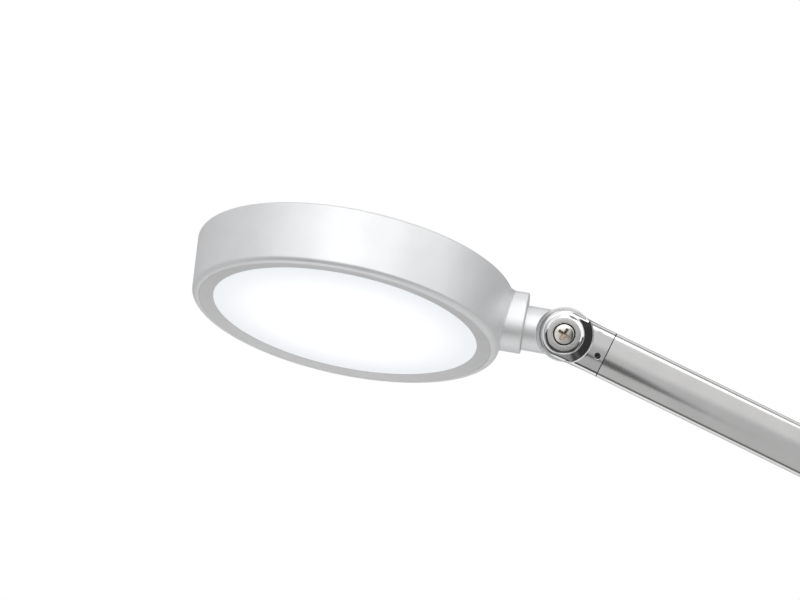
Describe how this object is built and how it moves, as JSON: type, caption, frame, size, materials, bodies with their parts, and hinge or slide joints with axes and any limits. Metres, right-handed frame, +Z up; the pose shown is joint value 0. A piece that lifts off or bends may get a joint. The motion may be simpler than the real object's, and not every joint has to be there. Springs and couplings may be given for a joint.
{
  "type": "architect desk lamp",
  "caption": "Desk lamp with a weighted round base, two flat-oval arms on friction knuckles and a flat round LED head that turns about its neck.",
  "frame": {"origin": "centre of the rubber foot's underside, on the desk", "axes": "+Z up; the arms fold in the XZ plane, the head points towards -X and its light face is turned towards -Y at rest"},
  "size_m": [0.5414, 0.216, 0.628],
  "materials": {
    "satin_silver": "satin silver",
    "chrome_knuckle": "polished",
    "base_shell": "satin silver",
    "nickel_screw": "nickel plated",
    "steel_fastener": "zinc plated",
    "black_screw": "blackened",
    "nylon": "natural nylon",
    "opal": "opal, satin face",
    "white_plastic": "gloss white",
    "plain_aluminium": "mill finish",
    "led_chip": "phosphor",
    "circuit_board": "solder mask",
    "cable": "matte",
    "weight": "raw",
    "rubber_foot": "matte",
    "black_plastic": "matte"
  },
  "bodies": {
    "base": {"base_cover": "base_shell", "base_weight": "weight", "base_foot": "rubber_foot", "base_screws": "steel_fastener", "power_inlet": "black_plastic", "base_lead": "cable"},
    "stem": {"base_stem": "satin_silver", "swivel_washer": "nylon", "swivel_wave_washer": "steel_fastener", "swivel_nut": "steel_fastener", "stem_lead": "cable"},
    "lower_arm": {"lower_arm_tube": "satin_silver", "shoulder_knuckle": "chrome_knuckle", "elbow_fork": "chrome_knuckle", "lower_arm_inserts": "plain_aluminium", "lower_arm_set_screws": "black_screw", "lower_arm_lead": "cable", "shoulder_screw": "nickel_screw", "shoulder_nut": "steel_fastener", "shoulder_spring_washer": "steel_fastener", "shoulder_friction_washers": "nylon", "elbow_screw": "nickel_screw", "elbow_nut": "steel_fastener", "elbow_spring_washer": "steel_fastener", "elbow_friction_washers": "nylon"},
    "upper_arm": {"upper_arm_tube": "satin_silver", "elbow_tongue": "chrome_knuckle", "head_knuckle": "chrome_knuckle", "upper_arm_inserts": "plain_aluminium", "upper_arm_set_screws": "black_screw", "upper_arm_lead": "cable", "wrist_screw": "nickel_screw", "wrist_nut": "steel_fastener", "wrist_spring_washer": "steel_fastener", "wrist_friction_washers": "nylon"},
    "neck": {"head_neck": "satin_silver", "neck_slip_washer": "nylon", "pivot_wave_washer": "steel_fastener", "pivot_nut": "steel_fastener", "neck_lead": "cable"},
    "head": {"head_collar": "satin_silver", "head_housing": "satin_silver", "head_bezel": "satin_silver", "diffuser": "opal", "reflector": "white_plastic", "led_board": "plain_aluminium", "leds": "led_chip", "heat_spreader": "plain_aluminium", "spreader_screws": "steel_fastener", "driver_board": "circuit_board", "driver_lead": "cable", "rear_cover": "satin_silver", "cover_screws": "steel_fastener"},
    "button": {"power_button": "satin_silver"}
  },
  "joints": [
    {"name": "base_swivel", "type": "hinge", "parent": "base", "child": "stem", "pos_m": [0, 0, 0.0163], "axis": [0, 0, 1], "range_deg": [-170, 170]},
    {"name": "shoulder_tilt", "type": "hinge", "parent": "stem", "child": "lower_arm", "pos_m": [0, 0, 0.0613], "axis": [0, 1, 0], "range_deg": [-60, 35]},
    {"name": "elbow_bend", "type": "hinge", "parent": "lower_arm", "child": "upper_arm", "pos_m": [0.1784, 0, 0.39682], "axis": [0, 1, 0], "range_deg": [-36, 90]},
    {"name": "neck_tilt", "type": "hinge", "parent": "upper_arm", "child": "neck", "pos_m": [-0.16227, 0, 0.56519], "axis": [0, 1, 0], "range_deg": [-48, 80]},
    {"name": "head_turn", "type": "hinge", "parent": "neck", "child": "head", "pos_m": [-0.16227, 0, 0.56519], "axis": [-0.9848, 0, 0.1736], "range_deg": [-120, 80]},
    {"name": "button_press", "type": "slide", "parent": "head", "child": "button", "axis": [-0.1634, -0.3387, -0.9266], "range_m": [0, 0.0008], "stiffness_N_per_m": 1500, "springref_m": -0.0006}
  ]
}
